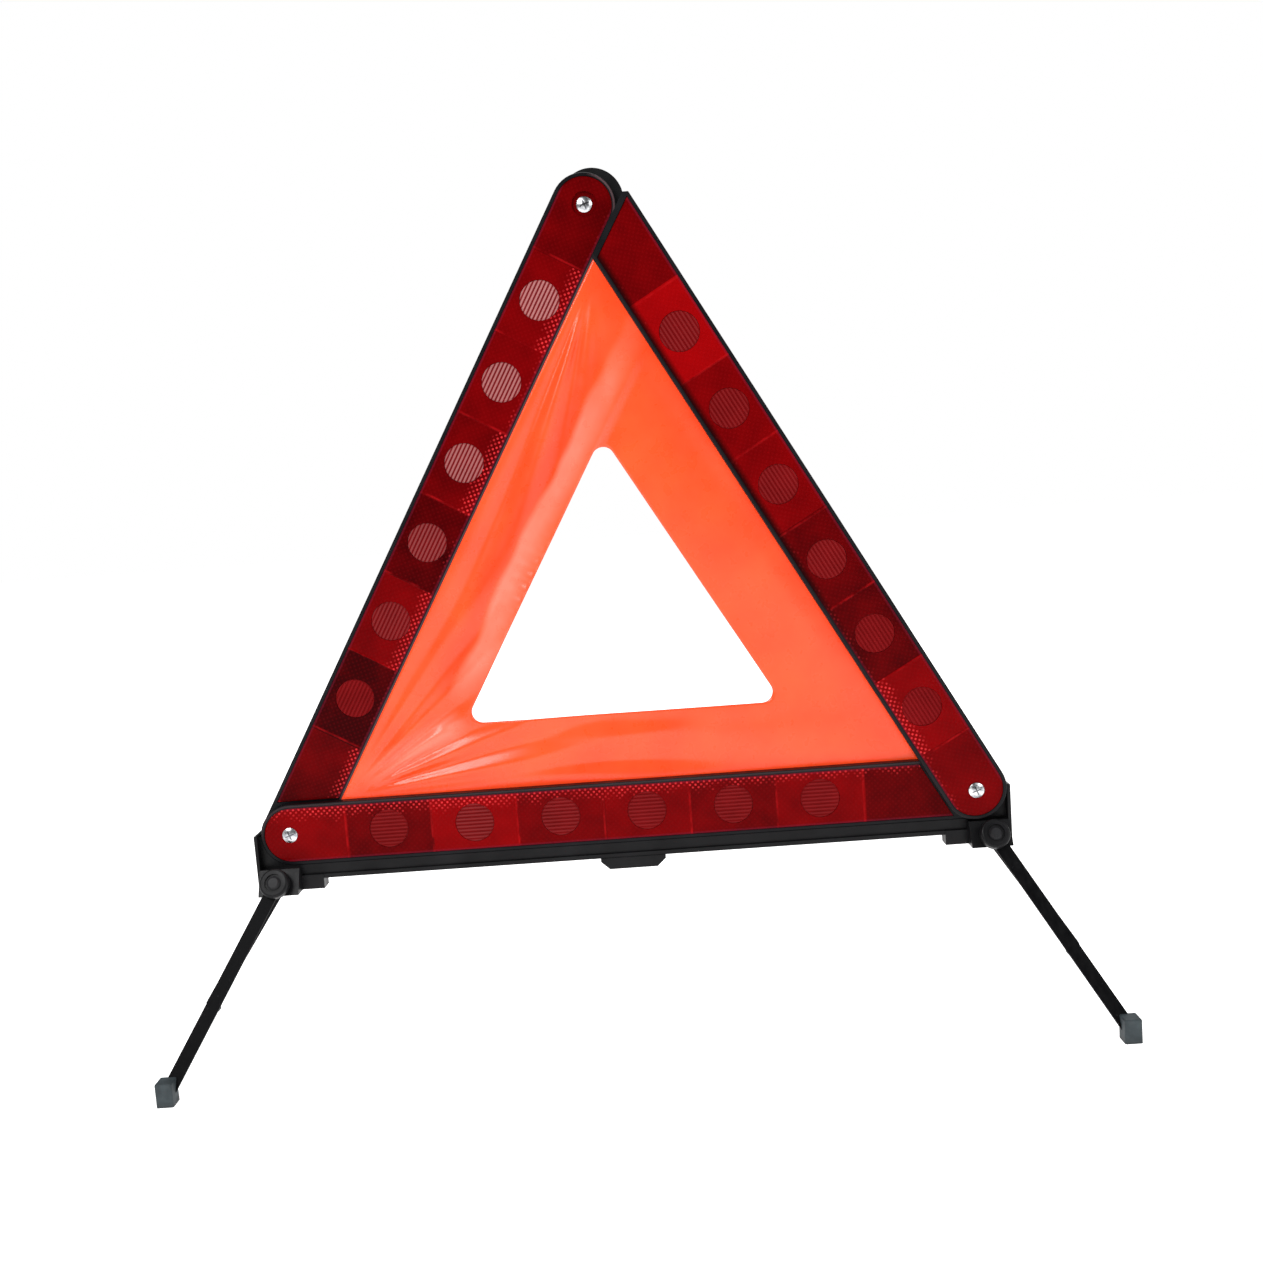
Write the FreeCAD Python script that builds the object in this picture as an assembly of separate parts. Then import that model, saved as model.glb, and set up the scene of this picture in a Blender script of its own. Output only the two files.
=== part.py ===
"""Folding roadside warning triangle on four riveted legs.

Everything is in millimetres.  The origin is on the ground under the middle of
the triangle, X runs to the right, the front faces -Y and Z is up.
"""
import FreeCAD, Part
import os
import math

V = FreeCAD.Vector

# ---- overall sizes -------------------------------------------------------
PIVOT_SPACING = 400.0          # centre distance of the corner rivets
PIVOT_HEIGHT = 130.0           # base rivets above the ground

# ---- arms ------------------------------------------------------------------
ARM_WIDTH = 36.0
ARM_THICK = 6.0
ARM_GAP = 0.5                  # running gap between stacked arms
EDGING = 2.0                   # black rim beside the red lens
END_INSET = 1.0                # round ends are centred this far inboard of the rivets
FLOOR = 1.2                    # back wall of an arm
CARRIER_THICK = 1.2            # plate that holds the ribbed discs
LENS_DROP = 0.6                # lens face below the rim
FIT = 0.15                     # slack round an inserted plate
LEAN = 0.7                     # right arm stands this many degrees wider
LENS_MARGIN = 0.5              # lens stops this far short of the arm that crosses it
EDGE_LAP = 0.2                 # right arm's end laps in front of the left arm's edge
TIP_TRIM = 3.0                 # sharp corner taken off the right arm's end
CATCH_THICK = 1.6              # catch plate behind the apex

# ---- ribbed reflector discs ----------------------------------------------
DISC_DIAMETER = 22.4
DISC_FIRST = 58.5
DISC_COUNT = 6
DISC_END = 89.0                # last disc to the far rivet
RIB_PITCH = 2.18
RIB_HEIGHT = 0.35

# ---- rivets ------------------------------------------------------------------
RIVET_SHANK = 5.0
RIVET_HEAD = 8.8
RIVET_DOME = 1.5
HEAD_EDGE = 0.35                # straight edge under the dome
TURN_CLEAR = 0.35              # radial gap round a turning shank
RECESS_DIAMETER = 14.0
RECESS_DEPTH = 2.4
TAIL_DIAMETER = 8.2
TAIL_THICK = 1.2
TAIL_RECESS = 1.6              # pocket for the flush tail behind the right rivet

# ---- film ----------------------------------------------------------------------
FILM_THICK = 0.4
FILM_LAP = 8.0                 # film tucked behind the base and right arms
WINDOW_SIDE = 185.0
WINDOW_BOTTOM = 57.7           # window edge above the base rivet line
WINDOW_RADIUS = 6.5

# ---- base rail and brackets ---------------------------------------------------
RAIL_HEIGHT = 8.4
RAIL_FLANGE = 9.0               # depth of the flange along the rail's foot
RAIL_FLANGE_HEIGHT = 2.4
TAB_TOP = 38.0
TAB_BOTTOM = 28.0
TAB_HEIGHT = 6.6
END_PLATE = 2.0
PLATE_DEPTH = 16.0
END_GAP = 0.5                  # turning arm to end plate
WEDGE_LENGTH = 23.0            # sloped part that carries the legs
BLOCK_LENGTH = 13.0            # plain block inboard of the wedge
BLOCK_DEPTH = 10.0
BRACKET_DROP = 6.0             # bracket below the rail

# ---- legs ----------------------------------------------------------------------
LEG_TILT = 28.0                # leg plane from the vertical
LEG_WIDTH = 8.0
LEG_THICK = 1.2
LEG_GAP = 0.35
FACE_CLEAR = 0.5               # bracket face behind the catch plate's back, at the pin
PIN_BELOW_ARM = 8.5            # leg pins below the base arm's lower edge
LEG_PIN_INSET = 10.0           # leg pins inboard of the end plate's inner face
FRONT_SPREAD = 56.0            # foot outboard of its pin, front legs
REAR_SPREAD = 70.3             # foot outboard of its pin, rear legs
REAR_TOE = 3.5                 # both rear feet stand this far to the left
KNUCKLE_FRONT = 17.0
KNUCKLE_REAR = 14.0            # smaller, to clear the folded catch plate
KNUCKLE_THICK = 5.0
PIN_DIAMETER = 4.0
PIN_HEAD = 8.0
FOOT_FRONT = (9.6, 10.0, 13.5)  # width, depth, height
FOOT_REAR = (7.4, 7.0, 7.5)
STRIP_LIFT = 5.0               # end of the steel strip above the ground

# ---- derived ---------------------------------------------------------------------
HALF = PIVOT_SPACING / 2.0
R = ARM_WIDTH / 2.0
APEX_RISE = PIVOT_SPACING * math.sqrt(3.0) / 2.0
BASE_FRONT = -ARM_THICK / 2.0
BASE_BACK = ARM_THICK / 2.0
FILM_FRONT = BASE_BACK
LEFT_FRONT = FILM_FRONT + FILM_THICK + ARM_GAP
RIGHT_FRONT = BASE_FRONT - ARM_GAP - ARM_THICK
DISC_PITCH = (PIVOT_SPACING - DISC_FIRST - DISC_END) / (DISC_COUNT - 1)
LENS_HALF = R - EDGING
END_X = HALF + R - END_INSET / 2 + END_GAP
PIN_X = END_X - LEG_PIN_INSET
LEG_PIN_DROP = R + PIN_BELOW_ARM
CATCH_REACH = R - EDGE_LAP
LEG_FACE = LEFT_FRONT + ARM_THICK + CATCH_THICK + FACE_CLEAR

LEFT_PIVOT = V(-HALF, 0, PIVOT_HEIGHT)
RIGHT_PIVOT = V(HALF, 0, PIVOT_HEIGHT)
APEX = V(0, 0, PIVOT_HEIGHT + APEX_RISE)


def export(shape, name):
    """Write one named piece after checking that it is a single sound solid."""
    shape = shape.removeSplitter()
    if len(shape.Solids) == 1:
        shape = shape.Solids[0]
    if not shape.isValid():
        shape.fix(0.01, 0.001, 0.01)
    print(name, "solids", len(shape.Solids), "valid", shape.isValid(), "volume", round(shape.Volume, 1))
    shape.exportStep("parts/" + name + ".step")


def plate(points, y0, thick):
    """Flat plate from (x, z) corner points, front face at y0."""
    wire = Part.makePolygon([V(x, y0, z) for x, z in points + [points[0]]])
    return Part.Face(wire).extrude(V(0, thick, 0))


def disc(x, z, radius, y0, thick):
    """Round plate facing the front."""
    return Part.makeCylinder(radius, thick, V(x, y0, z), V(0, 1, 0))


def stadium(start, stop, radius, y0, thick):
    """Bar with round ends whose end centres are at x = start and x = stop."""
    bar = Part.makeBox(stop - start, thick, 2 * radius, V(start, y0, -radius))
    return bar.fuse([disc(start, 0, radius, y0, thick), disc(stop, 0, radius, y0, thick)]).removeSplitter()


def capped(length, radius, slant, y0, thick):
    """Bar with a round front end and a slanted cut at `length` on its centre line.

    The outer side is +Z, and the cut runs parallel to the neighbouring arm,
    which leaves the bar at `slant` degrees on the inner side.
    """
    lean = radius / math.tan(math.radians(slant))
    corners = [(END_INSET, -radius), (length - lean, -radius), (length + lean, radius), (END_INSET, radius)]
    return plate(corners, y0, thick).fuse(disc(END_INSET, 0, radius, y0, thick)).removeSplitter()


def placed(shape, pivot, direction, mirror):
    """Lay an arm drawn along +X onto its pivot; mirror puts its outer side down or right."""
    if mirror:
        shape = shape.mirror(V(0, 0, 0), V(0, 0, 1))
    shape = shape.copy()
    shape.rotate(V(0, 0, 0), V(0, 1, 0), -direction)
    shape.translate(V(pivot.x, 0, pivot.z))
    return shape


def arm_parts(front, slant, recessed):
    """Housing, lens and disc carrier of one arm, drawn along +X, outer side +Z."""
    back = front + ARM_THICK
    lens_end = PIVOT_SPACING - (R + LENS_MARGIN) / math.sin(math.radians(slant))
    lens_front = front + LENS_DROP
    lens_back = back - FLOOR - CARRIER_THICK
    body = stadium(END_INSET, PIVOT_SPACING - END_INSET, R, front, ARM_THICK)
    rim = [e for e in body.Edges if abs(e.BoundBox.YMin - front) < 0.01 and e.BoundBox.YLength < 0.01]
    body = body.makeChamfer(0.4, rim)
    pocket = capped(lens_end, LENS_HALF, slant, front - 1, ARM_THICK - FLOOR + 1)
    boss = disc(0, 0, RIVET_SHANK / 2 + 2.2, back - FLOOR - 0.5, 0.7)
    housing = body.cut(pocket).fuse(boss)
    for x in (0, PIVOT_SPACING):
        housing = housing.cut(disc(x, 0, RIVET_SHANK / 2 + TURN_CLEAR, front - 1, ARM_THICK + 2))
    groove = stadium(1.7 * R, PIVOT_SPACING - 1.7 * R, R * 0.55, back - 0.4, 1)
    housing = housing.cut(groove)
    lens = capped(lens_end - 2 * FIT, LENS_HALF - FIT, slant, lens_front, lens_back - lens_front)
    if recessed:
        lens = lens.cut(disc(0, 0, RECESS_DIAMETER / 2, lens_front - 1, RECESS_DEPTH + 1 - LENS_DROP))
    lens = lens.cut(disc(0, 0, RIVET_SHANK / 2 + TURN_CLEAR, front - 1, ARM_THICK + 2))
    carrier_length = DISC_FIRST + DISC_PITCH * (DISC_COUNT - 1) + DISC_DIAMETER / 2 + 4
    start = R
    carrier = Part.makeBox(carrier_length - start, CARRIER_THICK, DISC_DIAMETER + 3,
                           V(start, lens_back, -DISC_DIAMETER / 2 - 1.5))
    for i in range(DISC_COUNT):
        x = DISC_FIRST + i * DISC_PITCH
        lens = lens.cut(disc(x, 0, DISC_DIAMETER / 2 + FIT, front, ARM_THICK))
        pad = disc(x, 0, DISC_DIAMETER / 2, lens_front + RIB_HEIGHT, lens_back - lens_front)
        carrier = carrier.fuse(pad).fuse(disc_ribs(x, lens_front))
    return {"housing": housing, "lens": lens, "discs": carrier}


def disc_ribs(x, front):
    """Straight ribs across one disc, running along the arm."""
    radius = DISC_DIAMETER / 2 - 0.4
    count = int(radius / RIB_PITCH)
    ribs = []
    for i in range(-count, count + 1):
        z = i * RIB_PITCH
        half = math.sqrt(max(radius ** 2 - (abs(z) + RIB_PITCH / 4) ** 2, 1.0))
        corner = V(x - half, front, z - RIB_PITCH / 4)
        ribs.append(Part.makeBox(2 * half, RIB_HEIGHT + 0.2, RIB_PITCH / 2, corner))
    return ribs[0].fuse(ribs[1:])


def rivet(x, z, head_y, tail_y, tail_thick):
    """Domed rivet along Y: head in front, upset tail behind."""
    shank = RIVET_SHANK / 2
    rim = RIVET_HEAD / 2
    tail = TAIL_DIAMETER / 2
    top = head_y - RIVET_DOME
    crown = (RIVET_DOME - HEAD_EDGE) / 4
    arc = Part.Arc(V(0, top, 0), V(rim / 2, top + crown, 0), V(rim, head_y - HEAD_EDGE, 0)).toShape()
    outline = [V(rim, head_y - HEAD_EDGE, 0), V(rim, head_y, 0), V(shank, head_y, 0),
               V(shank, tail_y - tail_thick, 0), V(tail, tail_y - tail_thick, 0),
               V(tail, tail_y, 0), V(0, tail_y, 0), V(0, top, 0)]
    profile = Part.Face(Part.Wire([arc] + Part.makePolygon(outline).Edges))
    turned = profile.revolve(V(0, 0, 0), V(0, 1, 0), 360)
    turned.translate(V(x, 0, z))
    return turned


def crossing(n1, d1, n2, d2):
    """Meeting point of two lines n.p = d, measured from the left rivet."""
    det = n1[0] * n2[1] - n1[1] * n2[0]
    return ((d1 * n2[1] - d2 * n1[1]) / det, (n1[0] * d2 - n2[0] * d1) / det)


def tip_cutter():
    """Block above the right arm's end that takes its sharp corner off."""
    outward = math.radians(30 - LEAN)
    outer_n = (math.cos(outward), math.sin(outward))
    left_n = (math.cos(math.radians(-30)), math.sin(math.radians(-30)))
    corner = crossing(outer_n, outer_n[0] * PIVOT_SPACING + R, left_n, R - EDGE_LAP)
    low = V(corner[0] - HALF - R, RIGHT_FRONT - 5, corner[1] + PIVOT_HEIGHT - TIP_TRIM)
    return Part.makeBox(2 * R, ARM_THICK + 10, 2 * R, low)


def film_shape():
    """Thin sheet filling the triangle, with a rounded three-sided window."""
    base_in = R - FILM_LAP
    left_in = R - 0.3
    right_in = R - FILM_LAP

    lean = math.radians(60 - LEAN)
    base_n = (0.0, 1.0)
    left_n = (math.sin(math.radians(60)), -math.cos(math.radians(60)))
    right_n = (-math.sin(lean), -math.cos(lean))
    right_d = right_n[0] * PIVOT_SPACING + right_in
    pts = [crossing(base_n, base_in, left_n, left_in),
           crossing(base_n, base_in, right_n, right_d),
           crossing(left_n, left_in, right_n, right_d)]
    pts = [(p[0] - HALF, p[1] + PIVOT_HEIGHT) for p in pts]
    sheet = plate(pts, FILM_FRONT, FILM_THICK)
    rise = WINDOW_SIDE * math.sqrt(3.0) / 2.0
    z0 = PIVOT_HEIGHT + WINDOW_BOTTOM
    window = plate([(-WINDOW_SIDE / 2, z0), (WINDOW_SIDE / 2, z0), (0, z0 + rise)], FILM_FRONT - 1, 3)
    upright = [e for e in window.Edges if e.BoundBox.YLength > 2.9]
    window = window.makeFillet(WINDOW_RADIUS, upright)
    return sheet.cut(window)


def apex_catch():
    """Round plate behind the apex; its edge shows beside the left arm's tip."""
    heading = math.radians(120.0 - LEAN)
    x = HALF + PIVOT_SPACING * math.cos(heading)
    z = PIVOT_HEIGHT + PIVOT_SPACING * math.sin(heading)
    back = LEFT_FRONT + ARM_THICK
    ear = disc(x, z, R, back, CATCH_THICK)
    trim = Part.makeBox(R, 3 * CATCH_THICK, 4 * R, V(CATCH_REACH, back - CATCH_THICK, -2 * R))
    trim.rotate(V(0, 0, 0), V(0, 1, 0), 30.0)
    trim.translate(V(APEX.x, 0, APEX.z))
    return ear.cut(trim).cut(disc(APEX.x, APEX.z, RIVET_SHANK / 2, back - 1, 2 * CATCH_THICK + 2))


def leg_frame(side, rear):
    """Pin point, in-plane down direction and outward face normal of one leg."""
    tilt = math.radians(LEG_TILT)
    fwd = 1.0 if rear else -1.0
    pin = V(side * PIN_X, fwd * LEG_FACE, PIVOT_HEIGHT - LEG_PIN_DROP)
    down = V(0, fwd * math.sin(tilt), -math.cos(tilt))
    normal = V(0, fwd * math.cos(tilt), math.sin(tilt))
    return pin, down, normal


def leg_parts(side, rear):
    """Strip, knuckle, foot and pin of one leg in its standing position."""
    pin, down, normal = leg_frame(side, rear)
    spread = REAR_SPREAD - side * REAR_TOE if rear else FRONT_SPREAD
    girth = KNUCKLE_REAR if rear else KNUCKLE_FRONT
    drop = (pin.z - STRIP_LIFT) / math.cos(math.radians(LEG_TILT))
    run = V(side * spread, 0, 0) + down * drop
    length = run.Length
    along = V(run).normalize()
    across = normal.cross(along)
    base = pin + normal * LEG_GAP
    h = across * (LEG_WIDTH / 2)
    end = base + along * length
    face = Part.Face(Part.makePolygon([base - h, end - h, end + h, base + h, base - h]))
    strip = face.extrude(normal * LEG_THICK)
    strip = strip.fuse(Part.makeCylinder(LEG_WIDTH / 2, LEG_THICK, base, normal))
    bore = Part.makeCylinder(PIN_DIAMETER / 2 + LEG_GAP, 30, pin - normal * 10, normal)
    strip = strip.cut(bore)
    top = base + normal * LEG_THICK
    knuckle = Part.makeCylinder(girth / 2, KNUCKLE_THICK, top, normal)
    crown = [e for e in knuckle.Edges if (e.CenterOfMass - top).dot(normal) > KNUCKLE_THICK - 0.01
             and abs(e.Length - math.pi * girth) < 0.1]
    knuckle = knuckle.makeFillet(1.6, crown)
    dish = Part.makeCylinder(PIN_HEAD / 2 + 1.2, 5, top + normal * (KNUCKLE_THICK - 1.0), normal)
    knuckle = knuckle.cut(bore).cut(dish)
    centre = end + normal * (LEG_THICK / 2)
    wide, deep, high = FOOT_REAR if rear else FOOT_FRONT
    foot = Part.makeBox(wide, deep, high, V(centre.x - wide / 2, centre.y - deep / 2, 0))
    foot = foot.makeFillet(1.0, [e for e in foot.Edges if e.BoundBox.ZMax > 0.5])
    slot = face.extrude(normal * LEG_THICK)
    foot = foot.cut(slot)
    floor = top.dot(normal) - pin.dot(normal) + KNUCKLE_THICK - 1.0 + LEG_GAP
    peg = Part.makeCylinder(PIN_DIAMETER / 2, floor + 5.0, pin - normal * 5.0, normal)
    head = Part.makeCone(PIN_HEAD / 2, PIN_HEAD / 2 - 1.2, 1.6, pin + normal * floor, normal)
    return {"strip": strip, "knuckle": knuckle, "foot": foot, "pin": peg.fuse(head)}


def bracket(side):
    """Moulded end bracket: sloped wedge for the legs, inboard block and end plate."""
    z_rail = PIVOT_HEIGHT - R - RAIL_HEIGHT
    z_low = z_rail - BRACKET_DROP
    z_top = PIVOT_HEIGHT - R - 0.6
    z_pin = PIVOT_HEIGHT - LEG_PIN_DROP
    slope = math.tan(math.radians(LEG_TILT))
    top_half = LEG_FACE - (z_top - z_pin) * slope
    low_half = LEG_FACE + (z_pin - z_low) * slope
    x_in = END_X - WEDGE_LENGTH
    section = [V(x_in, -top_half, z_top), V(x_in, top_half, z_top),
               V(x_in, low_half, z_low), V(x_in, -low_half, z_low)]
    wedge = Part.Face(Part.makePolygon(section + [section[0]])).extrude(V(WEDGE_LENGTH + 0.5, 0, 0))
    block = Part.makeBox(BLOCK_LENGTH + 1, BLOCK_DEPTH, BRACKET_DROP + RAIL_FLANGE_HEIGHT,
                         V(x_in - BLOCK_LENGTH, -BLOCK_DEPTH / 2, z_low))
    end = Part.makeBox(END_PLATE, PLATE_DEPTH, PIVOT_HEIGHT + 2.0 - z_low, V(END_X, -PLATE_DEPTH / 2, z_low))
    end = end.makeFillet(END_PLATE * 0.4, [e for e in end.Edges if e.BoundBox.XMin > END_X + 0.1])
    web = Part.makeBox(END_X - HALF + 0.5, ARM_THICK - 0.6, PIVOT_HEIGHT - z_rail,
                       V(HALF, 0.3 - ARM_THICK / 2, z_rail))
    shape = wedge.fuse([block, end, web])
    shape = shape.cut(rail())
    shape = shape.cut(base_outline(0.0))
    pins = [leg_parts(1, rear)["pin"] for rear in (False, True)]
    shape = shape.cut(pins)
    return shape if side > 0 else shape.mirror(V(0, 0, 0), V(1, 0, 0))


def base_outline(grow):
    """Outline of the base arm, used to fit the brackets against it."""
    bar = stadium(END_INSET, PIVOT_SPACING - END_INSET, R + grow, BASE_FRONT, ARM_THICK)
    bar.translate(V(-HALF, 0, PIVOT_HEIGHT))
    return bar


def rail():
    """Base rail under the base arm, with a wider flange along its foot."""
    z0 = PIVOT_HEIGHT - R - RAIL_HEIGHT
    web = Part.makeBox(2 * END_X, ARM_THICK, RAIL_HEIGHT, V(-END_X, BASE_FRONT, z0))
    flange = Part.makeBox(2 * END_X, RAIL_FLANGE, RAIL_FLANGE_HEIGHT, V(-END_X, -RAIL_FLANGE / 2, z0))
    return web.fuse(flange).cut(base_outline(0.0))


def tab():
    """Tapered grip tab under the middle of the rail."""
    z0 = PIVOT_HEIGHT - R - RAIL_HEIGHT
    a = TAB_TOP / 2
    b = TAB_BOTTOM / 2
    low = z0 - TAB_HEIGHT
    outline = [(-a, z0), (-a, z0 - 2.0), (-b, low), (b, low), (a, z0 - 2.0), (a, z0)]
    body = plate(outline, -RAIL_FLANGE / 2 - 0.5, RAIL_FLANGE + 1.0)
    slot = Part.makeBox(16, RAIL_FLANGE - 3, TAB_HEIGHT - 2, V(-8, -RAIL_FLANGE / 2 + 1.5, z0 - TAB_HEIGHT - 1))
    return body.cut(slot)


def main():
    """Build and write every piece."""
    os.makedirs("parts", exist_ok=True)
    poses = {
        "base": (BASE_FRONT, LEFT_PIVOT, 0.0, True),
        "right": (RIGHT_FRONT, RIGHT_PIVOT, 120.0 - LEAN, True),
        "left": (LEFT_FRONT, APEX, 240.0, True),
    }
    beyond = Part.makeBox(PIVOT_SPACING, 40, PIVOT_SPACING, V(-PIVOT_SPACING / 4, RIGHT_FRONT - 5, EDGE_LAP - R))
    beyond = placed(beyond, APEX, 240.0, True)
    for name, (front, pivot, direction, mirror) in poses.items():
        for piece, shape in arm_parts(front, 60.0, name == "left").items():
            shape = placed(shape, pivot, direction, mirror)
            if name == "right":
                shape = shape.cut([beyond, tip_cutter()])
            if name == "base" and piece == "housing":
                shape = shape.cut(disc(HALF, PIVOT_HEIGHT, RIVET_HEAD / 2 + 0.6, BASE_BACK - TAIL_RECESS, 3))
            if len(shape.Solids) > 1:
                shape = max(shape.Solids, key=lambda s: s.Volume)
            export(shape, name + "_arm_" + piece)

    left_back = LEFT_FRONT + ARM_THICK
    left_tail = left_back + TURN_CLEAR + TAIL_THICK
    right_head = RIGHT_FRONT + LENS_DROP - TURN_CLEAR
    right_tail = BASE_BACK - TURN_CLEAR
    export(rivet(-HALF, PIVOT_HEIGHT, BASE_FRONT + LENS_DROP, left_tail, TAIL_THICK), "left_pivot_rivet")
    export(rivet(HALF, PIVOT_HEIGHT, right_head, right_tail, TAIL_RECESS - TURN_CLEAR), "right_pivot_rivet")
    apex_tail = left_back + CATCH_THICK + TAIL_THICK
    export(rivet(APEX.x, APEX.z, LEFT_FRONT + RECESS_DEPTH, apex_tail, TAIL_THICK), "apex_rivet")
    export(apex_catch(), "apex_catch")
    export(film_shape(), "signal_film")
    export(rail(), "base_rail")
    export(tab(), "grip_tab")
    for side, word in ((-1, "left"), (1, "right")):
        export(bracket(side), word + "_bracket")
        for rear, end in ((False, "front"), (True, "rear")):
            for piece, shape in leg_parts(side, rear).items():
                export(shape, "leg_" + end + "_" + word + "_" + piece)


main()
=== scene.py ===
# %% [markdown]
# # A folding warning triangle
# The moving frame of this object is already made, as hard pieces that sit in metres with
# the ground at z = 0.  Here each hard piece gets a finish, and the soft orange film, which
# a solid can't show well, is worked out as a creased sheet.

# %% Load the frame
import math
import bpy
import numpy as np
from mathutils import Matrix, Vector


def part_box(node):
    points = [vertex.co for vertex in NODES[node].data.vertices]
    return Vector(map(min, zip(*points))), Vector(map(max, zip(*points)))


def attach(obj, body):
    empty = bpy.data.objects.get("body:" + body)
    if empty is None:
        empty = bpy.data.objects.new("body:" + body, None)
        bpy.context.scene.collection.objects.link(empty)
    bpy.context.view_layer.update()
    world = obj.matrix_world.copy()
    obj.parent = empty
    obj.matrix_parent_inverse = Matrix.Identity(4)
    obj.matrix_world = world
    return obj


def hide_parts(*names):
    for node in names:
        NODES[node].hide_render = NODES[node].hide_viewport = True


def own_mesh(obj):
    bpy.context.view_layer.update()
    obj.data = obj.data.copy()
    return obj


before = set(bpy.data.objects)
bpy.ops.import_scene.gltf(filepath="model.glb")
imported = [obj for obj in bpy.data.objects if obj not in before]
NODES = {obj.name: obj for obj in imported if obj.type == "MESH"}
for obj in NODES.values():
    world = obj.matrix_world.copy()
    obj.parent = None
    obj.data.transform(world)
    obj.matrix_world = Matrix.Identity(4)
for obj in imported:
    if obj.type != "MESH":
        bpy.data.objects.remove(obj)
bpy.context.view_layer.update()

# %% [markdown]
# ## Where the arms lie
# The three red arms are one moulding used three times.  Patterns on them, such as the
# cells of the reflector, run along the arm, so each arm is described by the rivet at its
# front end, the way it runs and the way its outer edge faces.  Everything that follows
# an arm is then a function of `along` and `across`.

# %% The three arms
SPACING = 0.400                     # rivet to rivet
BASE_Z = 0.130                      # base rivets above the ground
RISE = SPACING * math.sqrt(3.0) / 2.0
LEAN = 0.7                          # degrees that the right arm stands wider
ARM_HALF = 0.018
DISC_FIRST = 0.0585
DISC_PITCH = 0.0505


def heading(degrees):
    """Unit vector (x, z) that points `degrees` up from +X."""
    a = math.radians(degrees)
    return np.array([math.cos(a), math.sin(a)])


ARMS = {
    "base": (np.array([-SPACING / 2, BASE_Z]), heading(0.0), heading(-90.0)),
    "right": (np.array([SPACING / 2, BASE_Z]), heading(120.0 - LEAN), heading(30.0 - LEAN)),
    "left": (np.array([0.0, BASE_Z + RISE]), heading(240.0), heading(150.0)),
}
for arm, (rivet, along, outward) in ARMS.items():
    print(arm, "rivet", rivet.round(4), "along", along.round(3), "outward", outward.round(3))

# %% [markdown]
# ## A small kit for node materials
# A material is a graph of nodes.  Writing each link by hand hides the idea, so these
# helpers let a formula be written almost as it reads.  Numbers that are the same all
# over a surface stay on the shader's own sockets.

# %% Node helpers
class Finish:
    """One node material, with short ways to add and join nodes."""

    def __init__(self, name, **sockets):
        self.material = bpy.data.materials.new(name)
        self.material.use_nodes = True
        self.tree = self.material.node_tree
        self.shader = self.tree.nodes["Principled BSDF"]
        for key, value in sockets.items():
            label = key.replace("_", " ").title().replace("Ior", "IOR")
            self.shader.inputs[label].default_value = value
        self.place = self.add("ShaderNodeTexCoord").outputs["Object"]

    def add(self, kind, **settings):
        node = self.tree.nodes.new(kind)
        for key, value in settings.items():
            setattr(node, key, value)
        return node

    def join(self, source, socket):
        if hasattr(source, "links"):
            self.tree.links.new(source, socket)
        else:
            socket.default_value = source

    def math(self, operation, a, b=0.0, clamp=False):
        node = self.add("ShaderNodeMath", operation=operation, use_clamp=clamp)
        self.join(a, node.inputs[0])
        self.join(b, node.inputs[1])
        return node.outputs[0]

    def times(self, a, b):
        """Product of two values."""
        return self.math("MULTIPLY", a, b)

    def measure(self, direction, origin=(0.0, 0.0)):
        """Distance of each point from `origin` along `direction`, both given as (x, z)."""
        node = self.add("ShaderNodeVectorMath", operation="DOT_PRODUCT")
        self.join(self.place, node.inputs[0])
        node.inputs[1].default_value = (direction[0], 0.0, direction[1])
        return self.math("SUBTRACT", node.outputs["Value"], float(np.dot(origin, direction)))

    def scaled(self, factors):
        node = self.add("ShaderNodeMapping")
        self.join(self.place, node.inputs["Vector"])
        node.inputs["Scale"].default_value = factors
        return node.outputs["Vector"]

    def noise(self, scale, detail, vector=None):
        node = self.add("ShaderNodeTexNoise")
        self.join(vector or self.place, node.inputs["Vector"])
        node.inputs["Scale"].default_value = scale
        node.inputs["Detail"].default_value = detail
        return node.outputs["Fac"]

    def band(self, value, low, high, to_low=0.0, to_high=1.0):
        """Straight ramp from `low` to `high`, held level outside."""
        node = self.add("ShaderNodeMapRange")
        for socket, number in zip(node.inputs[:5], (value, low, high, to_low, to_high)):
            self.join(number, socket)
        return node.outputs[0]

    def between(self, value, low, rise, fall, high):
        """1 from `rise` to `fall`, sloping to 0 at `low` and at `high`."""
        return self.times(self.band(value, low, rise), self.band(value, fall, high, 1.0, 0.0))

    def mix(self, factor, a, b):
        """Colour `a` where the factor is 0, colour `b` where it is 1."""
        node = self.add("ShaderNodeMix", data_type="RGBA")
        self.join(factor, node.inputs["Factor"])
        for socket, colour in zip((node.inputs[6], node.inputs[7]), (a, b)):
            self.join(colour if hasattr(colour, "links") else (*colour, 1.0), socket)
        return node.outputs[2]

    def steps(self, value, levels, edges, end):
        """Grey level per cell: levels[i] up to edges[i], over 0 to `end`."""
        node = self.add("ShaderNodeValToRGB")
        ramp = node.color_ramp
        ramp.interpolation = "CONSTANT"
        for i, level in enumerate(levels):
            start = 0.0 if i == 0 else edges[i - 1] / end
            stop = ramp.elements[i] if i < 2 else ramp.elements.new(start)
            stop.position = start
            stop.color = (level, level, level, 1.0)
        self.join(self.math("DIVIDE", value, end), node.inputs["Fac"])
        return node.outputs["Color"]

    def bump(self, height, distance, strength):
        node = self.add("ShaderNodeBump")
        node.inputs["Distance"].default_value = distance
        node.inputs["Strength"].default_value = strength
        self.join(height, node.inputs["Height"])
        self.join(node.outputs["Normal"], self.shader.inputs["Normal"])

    def colour(self, source):
        self.join(source, self.shader.inputs["Base Color"])

    def roughness(self, source):
        self.join(source, self.shader.inputs["Roughness"])


def dress(material, *names):
    """Puts one material on every slot of the named hard pieces."""
    for name in names:
        for slot in NODES[name].material_slots:
            slot.material = material
    print(material.name, "->", len(names), "pieces")


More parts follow.
